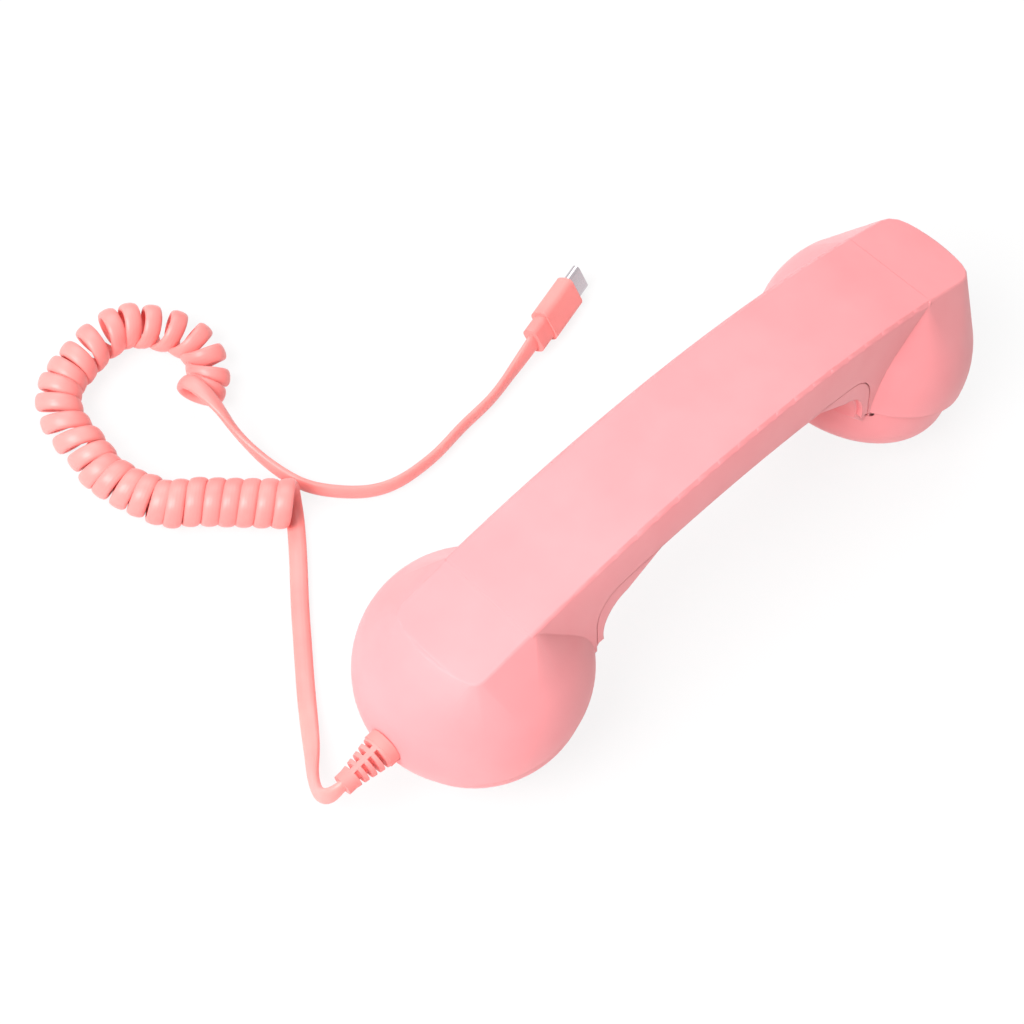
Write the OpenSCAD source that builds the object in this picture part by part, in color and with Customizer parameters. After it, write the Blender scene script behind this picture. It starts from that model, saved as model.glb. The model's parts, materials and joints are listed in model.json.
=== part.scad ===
/* [Handle] */
// Distance between the centres of the two cups
cup_span = 157; // [140:1:180]
// Height of the middle of the back when the handset lies on its face
back_top = 64.6; // [58:0.2:72]
// Drop of the back from its middle to a cup centre
arch_rise = 9.6; // [6:0.2:14]
// Width of the flat back strip
back_w = 30.6; // [24:0.2:36]
// Depth of the rear shell's side walls along the handle
rear_depth = 12.7; // [9:0.1:15]
// Outward draft of the side walls in degrees
side_draft = 9.5; // [4:0.5:12]
// Rounding of the long edges of the back
ridge_r = 1.2; // [0.6:0.1:2]
// Full thickness of the handle
grip_t = 18.8; // [17:0.1:24]
// Rounding of the inner edges of the handle
grip_r = 5; // [2:0.5:5.5]
// Step from the rear shell's side wall to the front shell's side
grip_inset = 0.6; // [0.2:0.1:1.5]
// Wall thickness of both shells
wall = 2.3; // [1.8:0.1:3]

/* [Cups] */
// Diameter of the domes at their rim
cup_d = 63; // [56:0.5:72]
// Outward tilt of the mouth cup in degrees
mouth_tilt = 15.5; // [10:0.5:22]
// Outward tilt of the ear cup in degrees
ear_tilt = 18.5; // [10:0.5:22]
// Height of the spherical zone above the rim
dome_zone = 17; // [10:0.5:20]
// Wall of the domes at the rim
dome_wall = 2.9; // [2.2:0.1:3.5]
// Radius of the bowls just under the rim
bowl_r = 29.6; // [26:0.1:31]
// Depth of the bowls from the rim to their flat face
bowl_depth = 17.3; // [14:0.1:22]
// Rounding of the bowls' outer edge
bowl_edge_r = 10; // [6:0.5:11]
// Thickness of the bowls' floors
floor_t = 3; // [2.6:0.1:4]
// End of the back strip over the mouth cup, from the middle
mouth_end = 98.1; // [94:0.1:102]
// End of the back strip over the ear cup, from the middle
ear_end = 104.9; // [96:0.1:106]
// Radius of the strip's curved ends
end_arc_r = 34.8; // [28:0.2:42]
// Rounding of the strip's corners at the mouth end
mouth_corner = 4; // [2:0.5:7]
// Rounding of the strip's corners at the ear end
ear_corner = 7.5; // [2:0.5:9]
// Where the mouth dome meets the strip's edge
mouth_crease = 74; // [68:0.5:82]
// Where the ear dome meets the strip's edge
ear_crease = 77.5; // [70:0.5:84]
// Distance of the side walls' upright ends from the middle
curl_x = 54.6; // [51:0.1:60]
// Radius of the curl at the ends of the side walls
curl_r = 10; // [6:0.5:14]
// Step from the side walls to the sides of the front shell's necks
neck_inset = 1.8; // [1:0.1:2.6]
// Radius of the hollow under each end of the handle
neck_r = 9.8; // [7:0.1:12]

/* [Ear and mouth pieces] */
// Radius of the grille caps
cap_r = 18.5; // [16:0.1:19]
// Thickness of the grille caps
cap_t = 1.5; // [1.2:0.1:1.8]
// Diameter of one sound hole
hole_d = 1.8; // [1:0.1:2.4]
// Radius of the loudspeaker's frame
speaker_r = 16; // [14:0.1:16]
// Height of the loudspeaker's frame
speaker_h = 3; // [2.4:0.1:4]
// Radius of the loudspeaker's magnet
magnet_r = 8.5; // [6:0.1:10]
// Height of the magnet
magnet_h = 4.5; // [3:0.1:5]
// Thickness of the sealing ring
gasket_t = 0.8; // [0.5:0.1:1.2]
// Diameter of the microphone capsule
mic_d = 9.7; // [6:0.1:10]
// Height of the microphone capsule
mic_h = 4.5; // [3:0.1:5]
// Rubber around the capsule
boot_wall = 1.3; // [1:0.1:2]
// Radius of the steel weights
weight_r = 22.5; // [21.5:0.1:24]
// Thickness of the steel weights
weight_t = 4; // [2:0.1:5]

/* [Keys] */
// Length of the trim plate around the keys
frame_l = 50; // [46:0.5:54]
// Width of the trim plate
frame_w = 13; // [12:0.1:15]
// Thickness of the trim plate
frame_t = 1.6; // [1.2:0.1:1.8]
// Distance between the keys
key_pitch = 14.5; // [13:0.1:16]
// Diameter of the answer key
key_d = 9; // [7:0.1:9.4]
// Length of a volume key
vol_l = 9; // [7:0.1:10]
// Width of a volume key
vol_w = 6.4; // [4:0.1:7]
// Travel of every key
key_travel = 0.4; // [0.2:0.05:0.5]
// Gap around a key
key_gap = 0.3; // [0.2:0.05:0.4]

/* [Cord] */
// Width of the flat cord
cord_w = 5; // [4:0.1:6]
// Thickness of the flat cord
cord_t = 2.4; // [1.8:0.1:3]
// Outer diameter of the coil
coil_d = 14.6; // [12:0.1:18]
// Length of the strain relief outside the dome
relief_l = 14.8; // [12:0.1:20]
// Radius of the strain relief at the dome
relief_r = 5; // [4:0.1:5.2]
// Radius of the strain relief at its tip
relief_tip_r = 2.95; // [2.7:0.05:3.5]

/* [Plug] */
// Width of the plug's grip
grip_w = 10.4; // [9:0.1:12]
// Thickness of the plug's grip
grip_h = 6; // [5:0.1:7]
// Length of the plug's grip
grip_l = 15.7; // [12:0.1:20]
// Length of the collar behind the grip
collar_l = 6.5; // [4:0.1:9]
// Width of the collar
collar_w = 8.2; // [7:0.1:9]
// Width of the metal shell
shell_w = 8.34; // [8:0.01:8.5]
// Thickness of the metal shell
shell_h = 2.56; // [2.4:0.01:2.6]
// Length of the metal shell outside the grip
shell_l = 6.65; // [6:0.05:7]

/* [Clearances] */
// Seam between the two shells
seam_gap = 0.12; // [0.05:0.01:0.3]
// Clearance around seated pieces
seat_gap = 0.1; // [0.05:0.01:0.15]
// Clearance between pieces of different moving groups along their travel
stop_gap = 0.1; // [0.05:0.01:0.2]

/* [Hidden] */
$fn = 48;

arch_r = pow(cup_span / 2, 2) / (2 * arch_rise) + arch_rise / 2;
arch_z = back_top - arch_r;
draft = tan(side_draft);
cup_r = cup_d / 2;
edge_ring = bowl_r - bowl_edge_r;
cavity_r = cup_r - dome_wall;
grip_hw = back_w / 2 + rear_depth * draft - grip_inset;
curl_cx = curl_x - curl_r;
curl_cz = arch_z + sqrt(pow(arch_r - rear_depth - curl_r, 2) - curl_cx * curl_cx);
curl_phi = atan2(curl_cx, curl_cz - arch_z);
neck_z = arch_z + sqrt(pow(arch_r - grip_t, 2) - 1600) - neck_r + 0.3;
neck_up = 29;
neck_cut = 16;
floor_z = floor_t - bowl_depth;
cap_z = cap_t - bowl_depth;
grip_floor = 3;
key_z = back_top - grip_t;
frame_proud = 0.3;
frame_in = key_z - frame_proud + frame_t;
ledge_gap = 0.05;
flange_t = 0.8;
flange_lip = 0.7;
key_proud = 0.5;
switch_s = 6;
switch_h = 3.4;
plunger_d = 3.2;
plunger_l = 2.6;
plunger_in = 0.8;
board_l = 54;
board_w = 20;
board_t = 1.2;
board_z = frame_in + stop_gap + flange_t + plunger_l - plunger_in + switch_h;
board_post_x = 23.5;
screw_d = 2;
screw_head_d = 3.6;
screw_head_h = 1.3;
case_screw_x = 34;
case_screw_d = 2.6;
case_head_d = 4.8;
case_head_h = 1.8;
case_boss_r = 3.6;
plug_seat_r = 3.2;
post_ring = 20.4;
post_r = 2.8;
weight_z = -1.5;
relief_low = 4;
relief_dip = 10;
relief_hole_r = 3.6;
relief_flange_r = 5.4;
relief_flange_t = 1.5;
relief_seat = 2.5;
plug_at = [19.5, 71.6, 5.15];
plug_yaw = 15.4;
plug_roll = -56;

lead_path = [[-124, 0, 17.2], [-126, 0.3, 16.4], [-127.7, 1.7, 13.9], [-127.5, 5.2, 9.8],
    [-123.8, 11.2, 6.2], [-118.7, 17.1, 4], [-108.3, 30.3, 1.4], [-96.7, 44.6, 1.3],
    [-89.8, 53, 1.3], [-80.4, 63.9, 1.3], [-75.5, 69.2, 1.6], [-73.4, 71.6, 2.6]];
lead_roll = [90, 90, 88, 84, 70, 45, 8, 0, 0, 0, 0, 0];
coil_path = [[-70.8, 74.5, 7.3], [-76.4, 79, 7.3], [-84, 86.2, 7.3], [-91.9, 93.7, 7.3],
    [-96.8, 99.6, 7.3], [-99.5, 108.2, 7.3], [-101.9, 116, 7.3], [-102, 123.1, 7.3],
    [-101.3, 129.7, 7.3], [-99.8, 137, 7.3], [-97, 143.6, 7.3], [-92.4, 148.2, 7.3],
    [-86, 151.2, 7.3], [-79, 153, 7.3], [-71.1, 153.3, 7.3], [-64.6, 150.8, 7.3],
    [-60, 146.2, 7.3], [-57, 140.6, 7.3], [-55.6, 133.8, 7.3], [-57.4, 127.4, 7.3],
    [-61.8, 123.2, 7.3], [-67.9, 121.6, 7.3]];
tail_path = [[-69.6, 120, 13.2], [-69.4, 117, 12.9], [-68.3, 113, 11.4], [-67.2, 106.8, 8],
    [-66, 96.5, 4.4], [-64.7, 86.8, 2.8], [-63.2, 80.5, 2.7], [-60.9, 76.4, 2.6],
    [-57.3, 72, 2.6], [-51.1, 66.6, 2.6], [-42.8, 63.4, 2.6], [-34, 62.8, 2.6], [-26.8, 63.2, 2.6],
    [-15.8, 64.9, 2.6], [-3.4, 66.2, 2.8], [7.2, 68.6, 3.5], [13.5, 70, 4.5], [19.6, 71.6, 5.15]];
tail_roll = [15, 20, 35, 60, 80, 90, 90, 90, 90, 90, 90, 90, 90, 90, 90, 80, 66, 56];
wire_run = [[25, 6, back_top - 9.15], [31, 8, back_top - 9.3], [44, 9, back_top - 12.4],
    [54, 9.4, back_top - 18.6], [58.5, 9.3, back_top - 24.1]];
mic_run = [[-21.5, 9, 5], [-21.5, 9, -2], [-14, 6, -4.2], [-6.5, 2.5, -5.2], [-1.4, 0.5, -6.6],
    [0, 0, -8.05]];
speaker_run = [[-21.5, 9, 5], [-21.5, 9, -2], [-19, 8, -6.4], [-14.6, 6, -9.2]];
relief_run = [[-66, 8, 39.5], [-80, 6, 32], [-92, 3, 27], [-101, 0.6, 22.4], [-105.4, 0, 20.7]];
wire_d = 2;

pink = [0.96, 0.62, 0.62];
deep_pink = [0.9, 0.5, 0.52];
steel = [0.75, 0.75, 0.77];
dark = [0.2, 0.2, 0.22];
green = [0.12, 0.35, 0.2];

function half_w(d) = back_w / 2 + d * draft;
function tilt(side) = side < 0 ? mouth_tilt : ear_tilt;
function rim_z(side) = (bowl_depth - bowl_edge_r) * cos(tilt(side))
    + edge_ring * sin(tilt(side)) + bowl_edge_r;
function rim_line(x) = rim_z(x) - (abs(x) - cup_span / 2) * tan(tilt(x));
function unit(v) = v / norm(v);
function heading(p, i) = unit(p[min(i + 1, len(p) - 1)] - p[max(i - 1, 0)]);

// A point given in a cup's frame, in the part's frame
function in_cup(side, p) = [side * (cup_span / 2 + p[0] * cos(tilt(side)) + p[2] * sin(tilt(side))),
    side * p[1], rim_z(side) - p[0] * sin(tilt(side)) + p[2] * cos(tilt(side))];

// Middle of the hollow under the handle's end: just under the handle, just into the bowl's side
function neck_x(side) = cup_span / 2 - bowl_r * cos(tilt(side)) - (neck_r - 0.8) / cos(tilt(side))
    + (neck_z - rim_z(side) - bowl_r * sin(tilt(side))) * tan(tilt(side));

// Frame of a cup: origin at the rim's centre, z out through the dome, x away from the other cup
module at_cup(side) {
    rotate([0, 0, side < 0 ? 180 : 0])
        translate([cup_span / 2, 0, rim_z(side)])
            rotate([0, tilt(side), 0])
                children();
}

// Frame on the arched back at distance x from the middle, z straight out of the back
module at_arch(x) {
    translate([0, 0, arch_z])
        rotate([0, asin(x / arch_r), 0])
            translate([0, 0, arch_r])
                children();
}

// Sweeps a section along the arched back, from x0 to x1
module sweep(x0, x1) {
    a = asin(x1 / arch_r);
    translate([0, 0, arch_z])
        rotate([90, 0, 0])
            rotate([0, 0, 90 - a])
                rotate_extrude(angle = a - asin(x0 / arch_r), $fn = 180)
                    children();
}

// Frame of the strain relief: z out along the cord
module at_relief() {
    translate([-cup_span / 2, 0, rim_z(-1)])
        rotate([0, -90 - relief_low, 0])
            translate([0, 0, cup_r])
                rotate([0, relief_low - relief_dip, 0])
                    children();
}

// Frame of the plug: z out of its open end, x along its thickness
module at_plug() {
    translate(plug_at)
        rotate([0, 0, plug_yaw])
            rotate([0, 90, 0])
                rotate([0, 0, plug_roll])
                    children();
}

module wedge_2d(top, bottom, inset) {
    polygon([[arch_r - top, inset - half_w(top)], [arch_r - top, half_w(top) - inset],
        [arch_r - bottom, half_w(bottom) - inset], [arch_r - bottom, inset - half_w(bottom)]]);
}

module rounded_wedge_2d(bottom) {
    y = back_w / 2 + ridge_r * draft - ridge_r / cos(side_draft);
    d = ridge_r - ridge_r * sin(side_draft);
    w = y + ridge_r * cos(side_draft);
    polygon([[arch_r, -y], [arch_r, y], [arch_r - d, w], [arch_r - bottom, half_w(bottom)],
        [arch_r - bottom, -half_w(bottom)], [arch_r - d, -w]]);
    for (s = [-1, 1])
        translate([arch_r - ridge_r, s * y])
            circle(r = ridge_r);
}

module grip_2d(top, bottom, hw, r) {
    polygon([[arch_r - top, -hw], [arch_r - top, hw], [arch_r - bottom + r, hw],
        [arch_r - bottom, hw - r], [arch_r - bottom, r - hw], [arch_r - bottom + r, -hw]]);
    for (s = [-1, 1])
        translate([arch_r - bottom + r, s * (hw - r)])
            circle(r = r);
}

// Side view of all that belongs to the front shell, widened by g
module front_zone(g) {
    far = 170;
    big = arch_r - rear_depth + g;
    right = [for (i = [0:12])
        let (a = (90 - curl_phi) * (1 - i / 12))
            [curl_cx + (curl_r + g) * cos(a), curl_cz + (curl_r + g) * sin(a)]];
    arc = [for (i = [-15:15])
        let (a = curl_phi * i / 16) [big * sin(a), arch_z + big * cos(a)]];
    ends = [for (s = [-1, 1])
        let (x = s * (curl_x + g), up = g / cos(tilt(s)))
            [[x, rim_line(x) + up], [s * far, rim_line(s * far) + up]]];
    rotate([90, 0, 0])
        linear_extrude(height = 120, center = true)
            polygon(concat(arc, right, ends[1], [[far, -60], [-far, -60], ends[0][1], ends[0][0]],
                [for (i = [len(right) - 1:-1:0]) [-right[i][0], right[i][1]]]));
}

// Solid dome with the end of the back strip on it
module dome(side, end_x, crease_x) {
    w = back_w / 2;
    corner_r = side < 0 ? mouth_corner : ear_corner;
    cx = end_x - end_arc_r;
    k = sqrt(pow(end_arc_r - corner_r, 2) - pow(w - corner_r, 2));
    a0 = atan2(w - corner_r, k);
    arc = [for (i = [0:3]) a0 * i / 3];
    corner = [for (i = [0:3]) a0 + (90 - a0) * i / 3];
    plan = concat([for (a = arc) [cx + (end_arc_r - ridge_r) * cos(a), (end_arc_r - ridge_r) * sin(a)]],
        [for (a = corner) [cx + k + (corner_r - ridge_r) * cos(a),
            w - corner_r + (corner_r - ridge_r) * sin(a)]],
        [[crease_x + ridge_r, w - ridge_r]]);
    hull() {
        at_cup(side)
            rotate_extrude($fn = 96)
                polygon(concat([[0, 0]], [for (i = [0:8])
                    let (a = asin(dome_zone / cup_r) * i / 8) [cup_r * cos(a), cup_r * sin(a)]],
                    [[0, dome_zone]]));
        for (p = plan)
            for (s = [-1, 1])
                translate([0, 0, arch_z])
                    rotate([0, asin(side * p[0] / (arch_r - ridge_r)), 0])
                        translate([0, s * p[1], arch_r - ridge_r - 0.03])
                            sphere(r = ridge_r, $fn = 16);
    }
}

module rear_shell() {
    color(pink)
        difference() {
            union() {
                difference() {
                    union() {
                        sweep(-mouth_crease - 3, ear_crease + 3)
                            rounded_wedge_2d(36);
                        dome(-1, mouth_end, mouth_crease);
                        dome(1, ear_end, ear_crease);
                    }
                    sweep(-64, 64)
                        wedge_2d(wall, 40, wall / cos(side_draft));
                    for (s = [-1, 1])
                        at_cup(s)
                            sphere(r = cavity_r, $fn = 96);
                }
                for (s = [-1, 1])
                    at_arch(s * case_screw_x)
                        translate([0, 0, -rear_depth + 4])
                            cylinder(r = case_boss_r, h = rear_depth - wall - 3);
                for (x = [-44, -20, 20, 44])
                    at_arch(x)
                        translate([-0.6, -half_w(6) + wall, -6])
                            cube([1.2, 2 * (half_w(6) - wall), 5]);
                at_relief()
                    translate([0, 0, -dome_wall - 0.6])
                        cylinder(r = relief_flange_r + 1.4, h = 1.6);
            }
            front_zone(seam_gap);
            for (s = [-1, 1])
                at_arch(s * case_screw_x)
                    translate([0, 0, -rear_depth + 3])
                        cylinder(d = case_screw_d - 0.1, h = 7);
            at_relief() {
                translate([0, 0, -12])
                    cylinder(r = relief_hole_r, h = 20);
                translate([0, 0, -12])
                    cylinder(r = relief_flange_r + 0.2, h = 12 - relief_seat);
                translate([0, 0, -0.7])
                    cylinder(r = relief_r + seat_gap, h = 4);
            }
        }
}

module bowl(off) {
    r = bowl_edge_r - off;
    d = off > 0 ? -floor_z : bowl_depth;
    rotate_extrude($fn = 96) {
        polygon([[0, 3], [bowl_r - off, 3], [bowl_r - off, r - d], [bowl_r - off - r, -d], [0, -d]]);
        intersection() {
            translate([bowl_r - off - r, r - d])
                circle(r = r);
            translate([bowl_r - off - r - 1, -d])
                square([r + 1, r]);
        }
    }
}

// Blend from the handle's inner side into a bowl, shrunk by off for the hollow
module neck(side, off) {
    hw = grip_hw - off;
    r = grip_r - off / 2;
    deep = grip_t - off;
    difference() {
        hull() {
            at_arch(side * 40.5) {
                for (s = [-1, 1])
                    translate([0, s * (hw - r), r - deep])
                        rotate([0, 90, 0])
                            cylinder(r = r, h = 1, center = true, $fn = 32);
                translate([-0.5, -hw, -rear_depth - 0.5])
                    cube([1, 2 * hw, rear_depth - 4]);
            }
            at_cup(side)
                intersection() {
                    translate([0, 0, -5])
                        cylinder(r = bowl_r - off - 0.3, h = neck_up, $fn = 64);
                    translate([-60, -40, -20])
                        cube([60 - neck_cut, 80, 60]);
                }
        }
        translate([side * neck_x(side), 0, neck_z])
            rotate([90, 0, 0])
                cylinder(r = neck_r + off, h = 80, center = true, $fn = 64);
    }
}

module front_shell() {
    color(pink)
        difference() {
            union() {
                difference() {
                    union() {
                        sweep(-54, 54)
                            grip_2d(rear_depth - 1, grip_t, grip_hw, grip_r);
                        intersection() {
                            union() {
                                neck(-1, 0);
                                neck(1, 0);
                            }
                            sweep(-66, 66)
                                wedge_2d(8, 40, neck_inset);
                        }
                        for (s = [-1, 1])
                            at_cup(s)
                                bowl(0);
                    }
                    sweep(-52, 52)
                        grip_2d(4, grip_t - grip_floor, grip_hw - wall, grip_r - wall);
                    neck(-1, wall);
                    neck(1, wall);
                    for (s = [-1, 1])
                        at_cup(s)
                            bowl(wall);
                }
                intersection() {
                    union() {
                        for (s = [-1, 1])
                            at_arch(s * case_screw_x)
                                translate([0, 0, -grip_t + 0.5])
                                    cylinder(r = case_boss_r, h = grip_t - rear_depth + 3.2);
                        for (s = [-1, 1])
                            translate([s * board_post_x, 0, key_z + 1])
                                cylinder(r = 2.4, h = board_z - key_z - 1);
                    }
                    sweep(-42, 42)
                        grip_2d(4, grip_t - 0.4, grip_hw, grip_r);
                }
                for (s = [-1, 1])
                    at_cup(s)
                        for (a = [60, 180, 300])
                            rotate([0, 0, a])
                                translate([post_ring, 0, floor_z - 1])
                                    cylinder(r = post_r, h = weight_z - floor_z + 1);
                at_cup(1)
                    translate([0, 0, floor_z - 1])
                        difference() {
                            cylinder(r = speaker_r + 1.3, h = 4);
                            translate([0, 0, -1])
                                cylinder(r = speaker_r + seat_gap, h = 8);
                        }
                at_cup(-1)
                    translate([0, 0, floor_z - 1])
                        difference() {
                            cylinder(r = mic_d / 2 + boot_wall + 1.4, h = 5);
                            translate([0, 0, -1])
                                cylinder(r = mic_d / 2 + boot_wall + seat_gap, h = 8);
                        }
            }
            difference() {
                translate([-130, -60, 0])
                    cube([260, 120, 90]);
                front_zone(0);
                for (s = [-1, 1])
                    at_arch(s * case_screw_x)
                        translate([0, 0, -grip_t - 4])
                            cylinder(r = case_boss_r, h = grip_t - rear_depth + 7.7);
                for (s = [-1, 1])
                    translate([s * board_post_x, 0, key_z - 4])
                        cylinder(r = 2.4, h = board_z - key_z + 4);
            }
            for (s = [-1, 1])
                at_arch(s * case_screw_x)
                    translate([0, 0, -grip_t - 4]) {
                        cylinder(d = case_screw_d + 0.2, h = 30);
                        cylinder(r = plug_seat_r, h = 4 + 4.6);
                    }
            for (s = [-1, 1])
                translate([s * board_post_x, 0, board_z - 4.5])
                    cylinder(d = screw_d - 0.1, h = 6);
            key_window(frame_l + 2 * seat_gap, frame_w + 2 * seat_gap, frame_in + ledge_gap);
            key_window(frame_l - 6, frame_w - 1.4, back_top);
            for (s = [-1, 1])
                at_cup(s) {
                    translate([0, 0, -bowl_depth - 1])
                        cylinder(r = cap_r + seat_gap, h = 1 + cap_t);
                    for (a = [60, 180, 300])
                        rotate([0, 0, a])
                            translate([post_ring, 0, weight_z - 5])
                                cylinder(d = screw_d - 0.1, h = 8);
                }
            at_cup(1)
                translate([0, 0, -bowl_depth - 1])
                    cylinder(r = speaker_r - 2.6, h = 9);
            at_cup(-1)
                translate([0, 0, -bowl_depth - 1])
                    cylinder(r = mic_d / 2 - 0.6, h = 6);
        }
}

// Upright pill-shaped cut from below the handle up to z on the middle line, following the arch
module key_window(l, w, z) {
    intersection() {
        translate([0, 0, key_z - 6])
            pill(l, w, 12);
        sweep(-40, 40)
            translate([0, -20])
                square([arch_r - back_top + min(z, back_top - 12), 40]);
    }
}

module pill(l, w, h) {
    translate([w / 2 - l / 2, -w / 2, 0])
        cube([l - w, w, h]);
    for (s = [-1, 1])
        translate([s * (l - w) / 2, 0, 0])
            cylinder(d = w, h = h);
}

module grille(holes, rings) {
    difference() {
        translate([0, 0, -bowl_depth])
            cylinder(r = cap_r, h = cap_t, $fn = 96);
        for (k = [0:rings])
            for (i = [0:max(0, k * holes - 1)])
                rotate([0, 0, k > 0 ? i * 360 / (k * holes) : 0])
                    translate([k * 4.4, 0, -bowl_depth - 1])
                        cylinder(d = hole_d, h = cap_t + 2, $fn = 24);
    }
}

module ear_cap() {
    color(pink)
        at_cup(1)
            grille(6, 2);
}

module mouth_cap() {
    color(pink)
        at_cup(-1)
            grille(6, 1);
}

module speaker_gasket() {
    color(dark)
        at_cup(1)
            translate([0, 0, floor_z])
                difference() {
                    cylinder(r = speaker_r, h = gasket_t);
                    translate([0, 0, -1])
                        cylinder(r = speaker_r - 2.4, h = gasket_t + 2);
                }
}

module speaker_frame() {
    color(dark)
        at_cup(1)
            translate([0, 0, floor_z + gasket_t])
                difference() {
                    union() {
                        cylinder(r = speaker_r, h = speaker_h);
                        translate([0, 0, speaker_h - 0.5])
                            cylinder(r1 = speaker_r - 2, r2 = magnet_r + 1, h = 1.5);
                    }
                    translate([0, 0, -1])
                        cylinder(r = speaker_r - 2.4, h = speaker_h);
                    for (i = [0:5])
                        rotate([0, 0, i * 60])
                            translate([magnet_r + 3.2, 0, -1])
                                cylinder(r = 1.4, h = speaker_h + 4);
                }
}

module speaker_diaphragm() {
    color(deep_pink)
        at_cup(1)
            translate([0, 0, floor_z + gasket_t])
                difference() {
                    union() {
                        translate([0, 0, 0.3])
                            cylinder(r = speaker_r - 2.4, h = 0.5);
                        translate([0, 0, 0.8])
                            cylinder(r1 = 6.4, r2 = 4.4, h = 0.7);
                    }
                    translate([0, 0, -1])
                        cylinder(r = 4, h = 2);
                }
}

module speaker_magnet() {
    color(steel)
        at_cup(1)
            translate([0, 0, floor_z + gasket_t + speaker_h + 1])
                cylinder(r = magnet_r, h = magnet_h);
}

module microphone() {
    color(steel)
        at_cup(-1)
            translate([0, 0, floor_z + boot_wall])
                difference() {
                    cylinder(d = mic_d, h = mic_h);
                    translate([0, 0, -1])
                        cylinder(d = 2, h = 1.8);
                }
}

module microphone_boot() {
    color(dark)
        at_cup(-1)
            translate([0, 0, floor_z])
                difference() {
                    cylinder(d = mic_d + 2 * boot_wall, h = mic_h + boot_wall + 0.6);
                    translate([0, 0, boot_wall])
                        cylinder(d = mic_d, h = mic_h + 4);
                    translate([0, 0, -1])
                        cylinder(d = 3, h = 4);
                }
}

module weight(side) {
    color(steel)
        at_cup(side)
            translate([0, 0, weight_z])
                difference() {
                    cylinder(r = weight_r, h = weight_t, $fn = 96);
                    for (a = [60, 180, 300])
                        rotate([0, 0, a])
                            translate([post_ring, 0, -1])
                                cylinder(d = screw_d + 0.4, h = weight_t + 2, $fn = 24);
                    translate([0, 0, -1])
                        cylinder(r = 4, h = weight_t + 2);
                    translate([-weight_r + 1, 9, -1])
                        cylinder(r = 3, h = weight_t + 2);
                }
}

module ear_weight() {
    weight(1);
}

module mouth_weight() {
    weight(-1);
}

// Pan-head screw: head up from z = 0, shank down
module screw(d, head_d, head_h, l) {
    difference() {
        union() {
            cylinder(d = head_d, h = head_h, $fn = 24);
            translate([0, 0, -l])
                cylinder(d = d, h = l + 0.1, $fn = 24);
        }
        for (a = [0, 90])
            rotate([0, 0, a])
                translate([-head_d * 0.3, -0.25, head_h / 2])
                    cube([head_d * 0.6, 0.5, head_h]);
    }
}

module weight_screws() {
    color(steel)
        for (s = [-1, 1])
            at_cup(s)
                for (a = [60, 180, 300])
                    rotate([0, 0, a])
                        translate([post_ring, 0, weight_z + weight_t])
                            screw(screw_d - 0.1, screw_head_d, screw_head_h, weight_t + 4);
}

module key_frame() {
    color(deep_pink)
        difference() {
            intersection() {
                translate([0, 0, key_z - 4])
                    pill(frame_l, frame_w, 10);
                sweep(-40, 40)
                    translate([arch_r - grip_t - frame_proud, -20])
                        square([frame_t, 40]);
            }
            translate([0, 0, key_z - 4])
                cylinder(d = key_d + 2 * key_gap, h = 12);
            for (s = [-1, 1])
                translate([s * key_pitch, 0, key_z - 4])
                    pill(vol_l + 2 * key_gap, vol_w + 2 * key_gap, 12);
        }
}

module answer_key() {
    color(pink)
        translate([0, 0, frame_in + stop_gap]) {
            cylinder(d = key_d + 2 * flange_lip, h = flange_t);
            difference() {
                translate([0, 0, -frame_t - key_proud - stop_gap])
                    cylinder(d = key_d, h = frame_t + key_proud + stop_gap + 0.1);
                translate([0, 0, -frame_t - key_proud - stop_gap - 27.7])
                    sphere(r = 28, $fn = 96);
            }
        }
}

function sag(x) = arch_r - grip_t - sqrt(pow(arch_r - grip_t, 2) - x * x);

module volume_key(side) {
    color(pink)
        translate([side * key_pitch, 0, frame_in - sag(key_pitch - vol_l / 2 - 1) + stop_gap])
            difference() {
                union() {
                    pill(vol_l + 2 * flange_lip, vol_w + 2 * flange_lip, flange_t);
                    translate([0, 0, -frame_t - key_proud - stop_gap])
                        pill(vol_l, vol_w, frame_t + key_proud + stop_gap + 0.1);
                }
                translate([-1.6, -0.35, -frame_t - key_proud - stop_gap - 1])
                    cube([3.2, 0.7, 1.3]);
                if (side > 0)
                    translate([-0.35, -1.6, -frame_t - key_proud - stop_gap - 1])
                        cube([0.7, 3.2, 1.3]);
            }
}

module volume_up_key() {
    volume_key(1);
}

module volume_down_key() {
    volume_key(-1);
}

function key_top(x) = frame_in + stop_gap + flange_t
    - (x == 0 ? 0 : sag(key_pitch - vol_l / 2 - 1));

module plunger(x) {
    color(dark)
        translate([x, 0, key_top(x)])
            cylinder(d = plunger_d, h = board_z - switch_h + plunger_in - key_top(x));
}

module answer_plunger() {
    plunger(0);
}

module volume_up_plunger() {
    plunger(key_pitch);
}

module volume_down_plunger() {
    plunger(-key_pitch);
}

module switch_body(x) {
    color(steel)
        translate([x, 0, board_z - switch_h])
            difference() {
                translate([-switch_s / 2, -switch_s / 2, 0])
                    cube([switch_s, switch_s, switch_h]);
                translate([0, 0, -1])
                    cylinder(d = plunger_d + 2 * key_gap, h = 1 + plunger_in + key_travel + 0.4);
            }
}

module answer_switch() {
    switch_body(0);
}

module volume_up_switch() {
    switch_body(key_pitch);
}

module volume_down_switch() {
    switch_body(-key_pitch);
}

module switch_board() {
    color(green)
        difference() {
            translate([-board_l / 2, -board_w / 2, board_z])
                cube([board_l, board_w, board_t]);
            for (s = [-1, 1])
                translate([s * board_post_x, 0, board_z - 1])
                    cylinder(d = screw_d + 0.4, h = board_t + 2);
        }
}

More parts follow.
